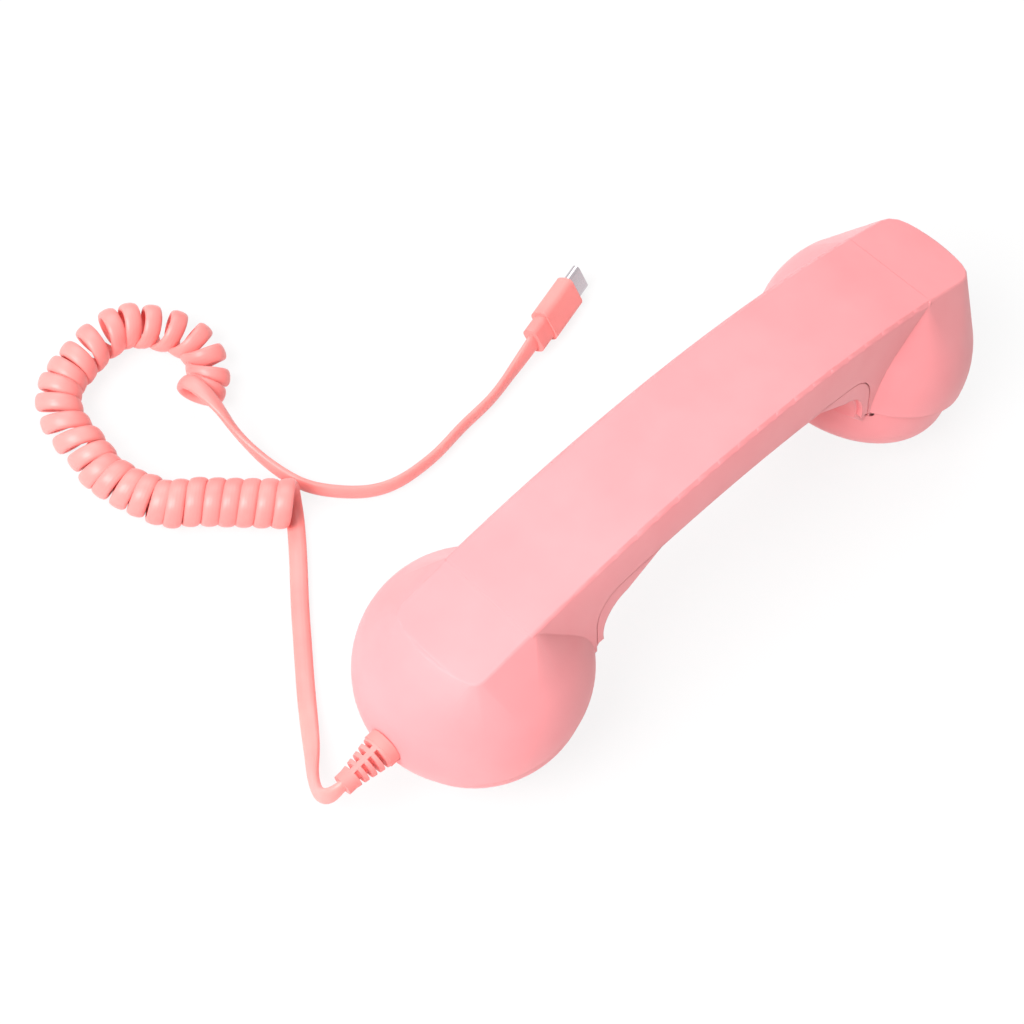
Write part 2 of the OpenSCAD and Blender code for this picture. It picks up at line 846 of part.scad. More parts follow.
module codec_chip() {
    color(dark)
        translate([-3.5, -3.5, board_z + board_t])
            cube([7, 7, 1]);
    color(dark)
        translate([8, -6, board_z + board_t])
            cube([4, 2.5, 1.2]);
    color(dark)
        translate([-12, 3, board_z + board_t])
            cube([4, 2.5, 1.2]);
}

module board_screws() {
    color(steel)
        for (s = [-1, 1])
            translate([s * board_post_x, 0, board_z + board_t])
                screw(screw_d - 0.1, screw_head_d, screw_head_h, board_t + 3.6);
}

module case_screws() {
    color(steel)
        for (s = [-1, 1])
            at_arch(s * case_screw_x)
                translate([0, 0, -grip_t + 4.6])
                    rotate([180, 0, 0])
                        screw(case_screw_d - 0.1, case_head_d, case_head_h, 8.6);
}

module screw_plugs() {
    color(pink)
        for (s = [-1, 1])
            at_arch(s * case_screw_x)
                translate([0, 0, -grip_t + 0.1])
                    cylinder(r = plug_seat_r - 0.05, h = 4.4 - case_head_h);
}

// Flat or round cord swept along a route; roll turns each section about the route
module ribbon(path, w, t, roll, n) {
    last = len(path) - 1;
    rings = [for (i = [0:last])
        let (h = heading(path, i), s = unit(cross(h, [0, 0, 1])), u = cross(s, h), r = roll[i])
            for (k = [0:n - 1])
                let (a = 360 * (k + 0.5) / n, c = cos(a), d = sin(a),
                    q = pow(pow(abs(c), 3) + pow(abs(d), 3), -1 / 3),
                    x = w / 2 * c * (w == t ? 1 : q), y = t / 2 * d * (w == t ? 1 : q))
                    path[i] + s * (x * cos(r) - y * sin(r)) + u * (x * sin(r) + y * cos(r))];
    sides = [for (i = [0:last - 1])
        for (k = [0:n - 1])
            for (f = [0, 1])
                let (a = i * n + k, b = i * n + (k + 1) % n)
                    f == 0 ? [a, b, b + n] : [a, b + n, a + n]];
    caps = [[for (k = [n - 1:-1:0]) k], [for (k = [0:n - 1]) last * n + k]];
    polyhedron(points = rings, faces = concat(sides, caps));
}

module wire(path) {
    ribbon(path, wire_d, wire_d, [for (p = path) 0], 8);
}

module inner_wires() {
    color(dark) {
        wire(concat([for (p = wire_run) [-p[0], -p[1], p[2]]], [for (p = mic_run) in_cup(-1, p)]));
        wire(concat(wire_run, [for (p = speaker_run) in_cup(1, p)]));
        wire(concat([for (p = wire_run) [-p[0], p[1], p[2]]], relief_run));
    }
}

module strain_relief() {
    pitch = (relief_l - 5.6) / 4;
    color(pink)
        at_relief()
            difference() {
                union() {
                    translate([0, 0, -0.65])
                        cylinder(r = relief_r, h = 2.9);
                    translate([0, 0, 2.2])
                        cylinder(r1 = relief_r - 0.25, r2 = relief_tip_r, h = relief_l - 4.4);
                    translate([0, 0, relief_l - 2.3])
                        cylinder(r = relief_tip_r, h = 2.3);
                    translate([0, 0, -relief_seat - 0.6])
                        cylinder(r = relief_hole_r - 0.1, h = relief_seat + 0.6);
                    translate([0, 0, -relief_seat - relief_flange_t])
                        cylinder(r = relief_flange_r, h = relief_flange_t);
                }
                for (i = [0:3])
                    translate([0, 0, 3 + i * pitch])
                        difference() {
                            translate([-8, -8, 0])
                                cube([16, 16, pitch * 0.5]);
                            translate([-9, -0.75, -1])
                                cube([18, 1.5, pitch + 2]);
                            translate([0, 0, -1])
                                cylinder(r = 1.9, h = pitch + 2);
                        }
            }
}

module cord_lead() {
    color(pink)
        ribbon(lead_path, cord_w, cord_t, lead_roll, 8);
}

module cord_coil() {
    color(pink)
        ribbon(coil_path, coil_d, coil_d, [for (p = coil_path) 15], 12);
}

module cord_tail() {
    color(pink)
        ribbon(tail_path, cord_w, cord_t, tail_roll, 8);
}

// Flat bar with rounded edges, thickness along x, width along y
module slab(w, h, l, r) {
    for (sx = [-1, 1])
        for (sy = [-1, 1])
            translate([sx * (h / 2 - r), sy * (w / 2 - r), 0])
                cylinder(r = r, h = l);
    translate([-h / 2, r - w / 2, 0])
        cube([h, w - 2 * r, l]);
    translate([r - h / 2, -w / 2, 0])
        cube([h - 2 * r, w, l]);
}

module plug_collar() {
    color(pink)
        at_plug()
            slab(collar_w, grip_h - 1.2, collar_l, 1.8);
}

module plug_overmould() {
    color(pink)
        at_plug()
            translate([0, 0, collar_l])
                difference() {
                    slab(grip_w, grip_h, grip_l, 2.2);
                    translate([0, 0, grip_l - 4])
                        slab(shell_w, shell_h, 6, 1.25);
                }
}

module plug_shell() {
    color(steel)
        at_plug()
            translate([0, 0, collar_l + grip_l - 4])
                difference() {
                    slab(shell_w, shell_h, shell_l + 4, 1.25);
                    translate([0, 0, 3])
                        slab(shell_w - 0.7, shell_h - 0.7, shell_l + 4, 0.9);
                }
}

module plug_tongue() {
    color(dark)
        at_plug()
            translate([0, 0, collar_l + grip_l - 1])
                difference() {
                    slab(shell_w - 0.7, shell_h - 0.7, shell_l - 0.6, 0.9);
                    translate([-0.45, -3.3, 0.8])
                        cube([0.9, 6.6, shell_l]);
                }
}

module plug_contacts() {
    color([0.85, 0.7, 0.35])
        at_plug()
            translate([0, 0, collar_l + grip_l - 0.2])
                for (i = [-5:5])
                    for (s = [-1, 1])
                        translate([s * 0.35 - 0.1, i * 0.5 - 0.14, 0])
                            cube([0.2, 0.28, 4]);
}

rear_shell();
front_shell();
ear_cap();
mouth_cap();
speaker_gasket();
speaker_frame();
speaker_diaphragm();
speaker_magnet();
microphone();
microphone_boot();
ear_weight();
mouth_weight();
weight_screws();
key_frame();
answer_key();
volume_up_key();
volume_down_key();
answer_plunger();
volume_up_plunger();
volume_down_plunger();
answer_switch();
volume_up_switch();
volume_down_switch();
switch_board();
codec_chip();
board_screws();
case_screws();
screw_plugs();
inner_wires();
strain_relief();
cord_lead();
cord_coil();
cord_tail();
plug_collar();
plug_overmould();
plug_shell();
plug_tongue();
plug_contacts();
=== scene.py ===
"""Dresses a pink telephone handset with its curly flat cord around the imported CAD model."""

import json
import logging
import math
from dataclasses import dataclass
from enum import Enum

import bmesh
import bpy
import numpy as np
from mathutils import Matrix, Vector


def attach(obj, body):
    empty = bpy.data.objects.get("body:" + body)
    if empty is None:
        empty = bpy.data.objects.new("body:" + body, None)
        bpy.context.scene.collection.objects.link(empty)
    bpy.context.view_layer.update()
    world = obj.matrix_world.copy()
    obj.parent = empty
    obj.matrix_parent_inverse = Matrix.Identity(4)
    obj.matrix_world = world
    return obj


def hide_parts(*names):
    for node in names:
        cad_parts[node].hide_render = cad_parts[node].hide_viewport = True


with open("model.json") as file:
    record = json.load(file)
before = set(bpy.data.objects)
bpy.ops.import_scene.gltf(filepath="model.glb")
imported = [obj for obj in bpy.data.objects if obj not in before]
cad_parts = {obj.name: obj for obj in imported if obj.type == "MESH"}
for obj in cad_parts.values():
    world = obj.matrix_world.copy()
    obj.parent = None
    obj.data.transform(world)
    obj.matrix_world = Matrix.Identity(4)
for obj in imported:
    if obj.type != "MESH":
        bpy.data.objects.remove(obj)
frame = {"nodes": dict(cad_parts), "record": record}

LOG = logging.getLogger("handset")
MM = 0.001
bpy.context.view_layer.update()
LAY_PER_MM = 0.1
SEAM_MERGE = 1e-7
NODE_MERGE = 1e-6
UP = np.array([0.0, 0.0, 1.0])
SLOTS = {row["node"]: row["material_slot"] for row in frame["record"]["subparts"]}


class Hue(Enum):
    """Colours by name, as red, green and blue on the usual display scale of 0 to 1."""

    SHELL = (0.975, 0.610, 0.625)
    SHELL_DEEP = (0.965, 0.585, 0.600)
    CORD = (1.000, 0.600, 0.580)
    CORD_DEEP = (0.985, 0.560, 0.545)
    GRAPHITE = (0.10, 0.10, 0.11)
    RUBBER = (0.07, 0.07, 0.07)
    STEEL = (0.80, 0.77, 0.79)
    GOLD = (0.93, 0.78, 0.48)
    FILM = (0.50, 0.47, 0.44)
    BOARD = (0.07, 0.36, 0.20)
    WIRE = (0.70, 0.12, 0.12)
    FLOOR = (0.93, 0.93, 0.93)

    def linear(self) -> tuple[float, float, float, float]:
        """The colour as a shader wants it, in linear light."""
        part = [c / 12.92 if c <= 0.04045 else ((c + 0.055) / 1.055) ** 2.4 for c in self.value]
        return (part[0], part[1], part[2], 1.0)


class Sheet:
    """A material while its nodes are laid out."""

    CLOUD_STOPS = (0.35, 0.65)
    PATCH_SPAN = (0.3, 0.7)
    GRAINS_PER_PATCH = 40.0
    EDGE_SAMPLES = 6

    def __init__(self, name: str) -> None:
        """Starts an empty material with an output and a Principled shader.

        Args:
            name: the material's name.
        """
        self.material = bpy.data.materials.new(name)
        self.material.use_nodes = True
        self.tree = self.material.node_tree
        self.tree.nodes.clear()
        self.out = self.tree.nodes.new("ShaderNodeOutputMaterial")
        self.skin = self.tree.nodes.new("ShaderNodeBsdfPrincipled")
        self.join(self.skin, "BSDF", self.out, "Surface")

    def add(self, kind: str, settings: dict[str, object] | None = None, **sockets: object) -> bpy.types.Node:
        """Adds a node.

        Args:
            kind: the node's class, without its ShaderNode prefix.
            settings: attributes of the node.
            **sockets: values of its inputs, with _ for a space.

        Returns:
            The node.
        """
        node = self.tree.nodes.new("ShaderNode" + kind)
        for key, value in (settings or {}).items():
            setattr(node, key, value)
        for key, value in sockets.items():
            node.inputs[key.replace("_", " ")].default_value = value
        return node

    def join(self, a: bpy.types.Node, a_out: str | int, b: bpy.types.Node, b_in: str | int) -> None:
        """Links output a_out of node a to input b_in of node b."""
        self.tree.links.new(a.outputs[a_out], b.inputs[b_in])

    def set(self, **sockets: object) -> None:
        """Sets inputs of the Principled shader, with _ for a space."""
        for key, value in sockets.items():
            self.skin.inputs[key.replace("_", " ")].default_value = value

    def cloudy(self, light: Hue, dark: Hue, scale: float) -> None:
        """Colours the shader with two close colours in soft clouds.

        Args:
            light: the lighter colour.
            dark: the darker colour.
            scale: clouds per metre.
        """
        place = self.add("TexCoord")
        clouds = self.add("TexNoise", Scale=scale, Detail=3.0, Roughness=0.5)
        ramp = self.add("ValToRGB")
        stops = ramp.color_ramp.elements
        for stop, position, hue in zip(stops, self.CLOUD_STOPS, (dark, light), strict=True):
            stop.position = position
            stop.color = hue.linear()
        self.join(place, "Object", clouds, "Vector")
        self.join(clouds, "Fac", ramp, "Fac")
        self.join(ramp, "Color", self.skin, "Base Color")

    def gloss(
        self, pattern: bpy.types.Node, rough: tuple[float, float], span: tuple[float, float] = (0.0, 1.0)
    ) -> None:
        """Makes the gloss uneven.

        Args:
            pattern: the noise that varies it.
            rough: least and most roughness.
            span: the noise's values at which the roughness is least and most.
        """
        spread = self.add("MapRange", From_Min=span[0], From_Max=span[1], To_Min=rough[0], To_Max=rough[1])
        self.join(pattern, "Fac", spread, "Value")
        self.join(spread, "Result", self.skin, "Roughness")

    def grain(self, size: float, depth: float, rough: tuple[float, float], soften: float = 0.0) -> None:
        """Gives the surface a fine moulded grain, uneven gloss and softened edges.

        Args:
            size: grains per metre.
            depth: height of the grain in metres.
            rough: least and most roughness.
            soften: radius of the softened edges in metres.
        """
        place = self.add("TexCoord")
        noise = self.add("TexNoise", Scale=size, Detail=2.0, Roughness=0.6)
        bump = self.add("Bump", Strength=1.0, Distance=depth)
        patches = self.add("TexNoise", Scale=size / self.GRAINS_PER_PATCH, Detail=2.0)
        self.join(place, "Object", noise, "Vector")
        self.join(place, "Object", patches, "Vector")
        self.join(noise, "Fac", bump, "Height")
        self.gloss(patches, rough, self.PATCH_SPAN)
        if soften > 0:
            edge = self.add("Bevel", {"samples": self.EDGE_SAMPLES}, Radius=soften)
            self.join(edge, "Normal", bump, "Normal")
        self.join(bump, "Normal", self.skin, "Normal")


@dataclass(frozen=True)
class SoftTouch:
    """Rubbery paint on moulded plastic: matt, with a faint velvet sheen."""

    name: str
    light: Hue
    dark: Hue
    sheen: float = 0.25
    soften: float = 0.0
    clouds: float = 38.0
    grain: float = 5200.0
    depth: float = 0.000012
    rough: tuple[float, float] = (0.50, 0.60)
    tint: tuple[float, float, float, float] = (1.0, 0.86, 0.88, 1.0)

    def material(self) -> bpy.types.Material:
        """Builds the material.

        Returns:
            The material.
        """
        sheet = Sheet(self.name)
        sheet.cloudy(self.light, self.dark, self.clouds)
        sheet.grain(self.grain, self.depth, self.rough, self.soften)
        sheet.set(IOR=1.45, Sheen_Weight=self.sheen, Sheen_Roughness=0.45, Sheen_Tint=self.tint)
        return sheet.material


@dataclass(frozen=True)
class Sheath:
    """Satin cord jacket with faint drawn lines along it."""

    name: str
    light: Hue
    dark: Hue
    clouds: float = 60.0
    patches: float = 500.0
    depth: float = 0.00003
    rough: tuple[float, float] = (0.34, 0.46)

    def material(self) -> bpy.types.Material:
        """Builds the material, whose lines follow the piece's own UV map.

        Returns:
            The material.
        """
        sheet = Sheet(self.name)
        sheet.cloudy(self.light, self.dark, self.clouds)
        around = sheet.add("UVMap", {"uv_map": "lay"})
        lines = sheet.add(
            "TexWave", {"bands_direction": "Y"}, Scale=5.0, Distortion=1.2, Detail=2.0, Detail_Scale=1.5
        )
        patches = sheet.add("TexNoise", Scale=self.patches, Detail=2.0)
        place = sheet.add("TexCoord")
        bump = sheet.add("Bump", Strength=0.5, Distance=self.depth)
        sheet.join(around, "UV", lines, "Vector")
        sheet.join(place, "Object", patches, "Vector")
        sheet.join(lines, "Fac", bump, "Height")
        sheet.join(bump, "Normal", sheet.skin, "Normal")
        sheet.gloss(patches, self.rough)
        sheet.set(IOR=1.48, Sheen_Weight=0.12, Sheen_Roughness=0.4)
        return sheet.material


@dataclass(frozen=True)
class Moulded:
    """Plain moulded plastic, rubber or film in one colour."""

    name: str
    colour: Hue
    rough: tuple[float, float]
    grain: float = 3000.0
    depth: float = 0.00001
    clouds: float = 40.0

    def material(self) -> bpy.types.Material:
        """Builds the material.

        Returns:
            The material.
        """
        sheet = Sheet(self.name)
        sheet.cloudy(self.colour, self.colour, self.clouds)
        sheet.grain(self.grain, self.depth, self.rough)
        return sheet.material


@dataclass(frozen=True)
class Metal:
    """Bare metal with fine brushing, whose lay is in radians from x."""

    name: str
    colour: Hue
    rough: tuple[float, float]
    lay: float = 0.0
    lines: tuple[float, float, float] = (300.0, 9000.0, 9000.0)
    depth: float = 0.000004

    def material(self) -> bpy.types.Material:
        """Builds the material.

        Returns:
            The material.
        """
        sheet = Sheet(self.name)
        sheet.set(Metallic=1.0, Base_Color=self.colour.linear())
        place = sheet.add("TexCoord")
        turn = sheet.add("Mapping", Rotation=(0.0, 0.0, self.lay), Scale=self.lines)
        brushing = sheet.add("TexNoise", Scale=1.0, Detail=3.0)
        bump = sheet.add("Bump", Strength=0.4, Distance=self.depth)
        sheet.join(place, "Object", turn, "Vector")
        sheet.join(turn, "Vector", brushing, "Vector")
        sheet.join(brushing, "Fac", bump, "Height")
        sheet.join(bump, "Normal", sheet.skin, "Normal")
        sheet.gloss(brushing, self.rough)
        return sheet.material


def spline(knots: np.ndarray, rows: np.ndarray, at: np.ndarray) -> np.ndarray:
    """Reads a natural cubic spline.

    Args:
        knots: rising parameters, one for each row.
        rows: the numbers to pass through.
        at: parameters to read at; the ends carry on straight.

    Returns:
        One row of numbers for each parameter in at.
    """
    n, gap = len(rows), np.diff(knots)
    system, right = np.eye(n), np.zeros_like(rows)
    for i in range(1, n - 1):
        system[i, i - 1 : i + 2] = gap[i - 1], 2 * (gap[i - 1] + gap[i]), gap[i]
        right[i] = 6 * ((rows[i + 1] - rows[i]) / gap[i] - (rows[i] - rows[i - 1]) / gap[i - 1])
    bend = np.linalg.solve(system, right)
    k = np.clip(np.searchsorted(knots, at, side="right") - 1, 0, n - 2)
    a, b, h = (knots[k + 1] - at)[:, None], (at - knots[k])[:, None], gap[k][:, None]
    line = (bend[k] * a**3 + bend[k + 1] * b**3) / (6 * h)
    return line + (rows[k] / h - bend[k] * h / 6) * a + (rows[k + 1] / h - bend[k + 1] * h / 6) * b


def distances(places: np.ndarray) -> np.ndarray:
    """Distance of each place along its line, from 0 at the first."""
    return np.concatenate([[0.0], np.cumsum(np.linalg.norm(np.diff(places, axis=0), axis=1))])


def headings(places: np.ndarray) -> np.ndarray:
    """Unit directions along a line, one for each of its places."""
    d = np.gradient(places, axis=0)
    return d / np.linalg.norm(d, axis=1, keepdims=True)


def soften(rows: np.ndarray, passes: int) -> None:
    """Averages every row but the first and last with its neighbours, in place.

    Args:
        rows: the rows, which are changed.
        passes: how many times.
    """
    for _ in range(passes):
        rows[1:-1] = (rows[:-2] + 2 * rows[1:-1] + rows[2:]) / 4


class Route:
    """A smooth line through given points, sampled evenly along its length."""

    SPLINE_SAMPLES = 60

    def __init__(self, points: np.ndarray, step: float) -> None:
        """Fits a natural cubic spline and samples it evenly.

        Args:
            points: rows of numbers; the first three columns are a place in millimetres.
            step: distance between samples in millimetres.
        """
        p = np.asarray(points, float)
        gap = np.sqrt(np.linalg.norm(np.diff(p[:, :3], axis=0), axis=1))
        t = np.concatenate([[0.0], np.cumsum(gap)])
        line = spline(t, p, np.linspace(0, t[-1], self.SPLINE_SAMPLES * len(p)))
        run = distances(line[:, :3])
        even = np.linspace(0, run[-1], max(3, round(run[-1] / step)))
        self.rows = np.stack([np.interp(even, run, column) for column in line.T], 1)


def rounded_section(sides: int, power: float) -> np.ndarray:
    """A closed rounded rectangle within -1 to 1.

    Args:
        sides: number of points.
        power: 2 for an ellipse, more for squarer corners.

    Returns:
        The points, two numbers each, anticlockwise.
    """
    a = 2 * math.pi * (np.arange(sides) + 0.5) / sides
    c, s = np.cos(a), np.sin(a)
    q = (np.abs(c) ** power + np.abs(s) ** power) ** (-1 / power)
    return np.stack([c * q, s * q], 1)


def loft(name: str, rings: np.ndarray, run: np.ndarray) -> bpy.types.Object:
    """Skins closed rings of equal count into one closed piece.

    Args:
        name: the piece's name.
        rings: places in millimetres, ring by ring.
        run: distance along the piece of each ring in millimetres, for the UV map.

    Returns:
        The piece, with a UV map named lay.
    """
    count, sides = rings.shape[:2]
    bm = bmesh.new()
    lay = bm.loops.layers.uv.new("lay")
    bmesh.ops.create_grid(bm, x_segments=count - 1, y_segments=sides, size=1.0, calc_uvs=True)
    bm.verts.ensure_lookup_table()
    for vert in bm.verts:
        i = round((vert.co.x + 1) / 2 * (count - 1))
        k = round((vert.co.y + 1) / 2 * sides)
        for loop in vert.link_loops:
            loop[lay].uv = (run[i] * LAY_PER_MM, k / sides)
        vert.co = Vector(rings[i, k % sides] * MM)
    bmesh.ops.remove_doubles(bm, verts=bm.verts, dist=SEAM_MERGE)
    rims = [edge for edge in bm.edges if edge.is_boundary]
    bmesh.ops.holes_fill(bm, edges=rims, sides=0)
    bmesh.ops.recalc_face_normals(bm, faces=bm.faces)
    return finish_mesh(name, bm)


def finish_mesh(name: str, bm: bmesh.types.BMesh, sharp: float = 40.0) -> bpy.types.Object:
    """Turns a bmesh into an object at the origin, smooth but for its sharp edges.

    Args:
        name: the piece's name.
        bm: the bmesh, in metres, which is freed.
        sharp: edges that turn by more than this many degrees stay sharp.

    Returns:
        The new object.
    """
    for face in bm.faces:
        face.smooth = True
    for edge in bm.edges:
        edge.smooth = len(edge.link_faces) == 2 and edge.calc_face_angle(0.0) < math.radians(sharp)
    mesh = bpy.data.meshes.new(name)
    bm.to_mesh(mesh)
    bm.free()
    piece = bpy.data.objects.new(name, mesh)
    bpy.context.scene.collection.objects.link(piece)
    return piece


def smooth_node(node: bpy.types.Object, sharp: float = 28.0) -> None:
    """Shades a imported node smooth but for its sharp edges, through modifiers alone.

    Args:
        node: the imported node.
        sharp: edges that turn by more than this many degrees stay sharp.
    """
    weld = node.modifiers.new("weld", "WELD")
    weld.merge_threshold = NODE_MERGE
    node.data.shade_smooth()
    split = node.modifiers.new("edges", "EDGE_SPLIT")
    split.split_angle = math.radians(sharp)


def dress(piece: bpy.types.Object, material: bpy.types.Material) -> None:
    """Gives a piece one material."""
    piece.data.materials.clear()
    piece.data.materials.append(material)


def report(piece: bpy.types.Object, slot: str) -> None:
    """Logs a piece with its slot and its count of faces."""
    LOG.info("%s in %s, %d faces", piece.name, slot, len(piece.data.polygons))


@dataclass(frozen=True)
class Lamp:
    """A soft round lamp that faces the object. Place and size in metres, power in watts."""

    name: str
    place: tuple[float, float, float]
    size: float
    power: float

    def build(self) -> None:
        """Makes the lamp."""
        data = bpy.data.lights.new(self.name, "AREA")
        data.shape, data.size, data.energy = "DISK", self.size, self.power
        lamp = bpy.data.objects.new(self.name, data)
        lamp.location = self.place
        lamp.rotation_mode = "QUATERNION"
        lamp.rotation_quaternion = (-Vector(self.place)).to_track_quat("-Z", "Y")
        bpy.context.scene.collection.objects.link(lamp)


@dataclass
class Studio:
    """The camera, the lamps, the world and the floor.

    The eye is in millimetres and the camera's angles are in degrees. The focal length is in
    pixels of a frame that is pixels_across wide. The floor's measures are in metres.
    """

    eye: tuple[float, float, float] = (-320.288, -187.026, 552.547)
    azimuth: float = 52.9322
    fall: float = 56.1912
    roll: float = 8.9759
    focal: float = 2375.32
    pixels_across: float = 1024.0
    sensor: float = 36.0
    lamps: tuple[Lamp, ...] = (
        Lamp("key", (-0.95, 0.10, 1.05), 0.9, 24.0),
        Lamp("over", (0.45, 0.75, 1.20), 1.1, 9.0),
        Lamp("fill", (-0.30, -1.10, 0.55), 1.2, 1.5),
    )
    room_colour: tuple[float, float, float, float] = (1.0, 0.985, 0.98, 1.0)
    room_strength: float = 0.30
    floor_radius: float = 4.0
    floor_drop: float = 0.0002
    floor_white: float = 0.86

    def camera(self) -> None:
        """Makes the camera."""
        a, e, r = (math.radians(v) for v in (self.azimuth, self.fall, self.roll))
        ahead = Vector((math.sin(a) * math.cos(e), math.cos(a) * math.cos(e), -math.sin(e)))
        side = ahead.cross(Vector((0, 0, 1))).normalized()
        over = side.cross(ahead)
        right = side * math.cos(r) + over * math.sin(r)
        up = over * math.cos(r) - side * math.sin(r)
        data = bpy.data.cameras.new("camera")
        data.sensor_width = self.sensor
        data.lens = self.sensor * self.focal / self.pixels_across
        data.clip_start, data.clip_end = 0.01, 20.0
        lens = bpy.data.objects.new("camera", data)
        turn = Matrix((right, up, -ahead)).transposed().to_4x4()
        lens.matrix_world = Matrix.Translation(Vector(self.eye) * MM) @ turn
        bpy.context.scene.collection.objects.link(lens)
        bpy.context.scene.camera = lens

    def world(self) -> None:
        """Makes the world, which lights softly and which the camera sees as white."""
        world = bpy.data.worlds.new("world")
        bpy.context.scene.world = world
        world.use_nodes = True
        tree = world.node_tree
        tree.nodes.clear()
        rays = tree.nodes.new("ShaderNodeLightPath")
        seen = tree.nodes.new("ShaderNodeMath")
        seen.operation = "MAXIMUM"
        room = tree.nodes.new("ShaderNodeBackground")
        white = tree.nodes.new("ShaderNodeBackground")
        mix = tree.nodes.new("ShaderNodeMixShader")
        out = tree.nodes.new("ShaderNodeOutputWorld")
        room.inputs["Color"].default_value = self.room_colour
        room.inputs["Strength"].default_value = self.room_strength
        white.inputs["Strength"].default_value = 1.0
        tree.links.new(rays.outputs["Is Camera Ray"], seen.inputs[0])
        tree.links.new(rays.outputs["Is Glossy Ray"], seen.inputs[1])
        tree.links.new(seen.outputs[0], mix.inputs[0])
        tree.links.new(room.outputs[0], mix.inputs[1])
        tree.links.new(white.outputs[0], mix.inputs[2])
        tree.links.new(mix.outputs[0], out.inputs[0])

    def floor(self) -> None:
        """Makes the pale floor, which keeps the object's shadow."""
        bm = bmesh.new()
        bmesh.ops.create_circle(bm, cap_ends=True, segments=64, radius=self.floor_radius)
        bmesh.ops.translate(bm, verts=bm.verts, vec=(0, 0, -self.floor_drop))
        floor = finish_mesh("floor", bm)
        sheet = Sheet("floor")
        sheet.tree.nodes.remove(sheet.skin)
        rays = sheet.add("LightPath")
        seen = sheet.add("Math", {"operation": "MAXIMUM"})
        share = sheet.add("Math", {"operation": "MULTIPLY"})
        share.inputs[1].default_value = self.floor_white
        matt = sheet.add("BsdfDiffuse", Color=Hue.FLOOR.linear())
        glow = sheet.add("Emission", Strength=1.0)
        mix = sheet.add("MixShader")
        sheet.join(rays, "Is Camera Ray", seen, 0)
        sheet.join(rays, "Is Glossy Ray", seen, 1)
        sheet.join(seen, 0, share, 0)
        sheet.join(share, 0, mix, 0)
        sheet.join(matt, 0, mix, 1)
        sheet.join(glow, 0, mix, 2)
        sheet.join(mix, 0, sheet.out, "Surface")
        dress(floor, sheet.material)

    def build(self) -> None:
        """Makes the camera, the lamps, the world and the floor."""
        bpy.context.scene.view_settings.view_transform = "Standard"
        self.camera()
        for lamp in self.lamps:
            lamp.build()
        self.world()
        self.floor()


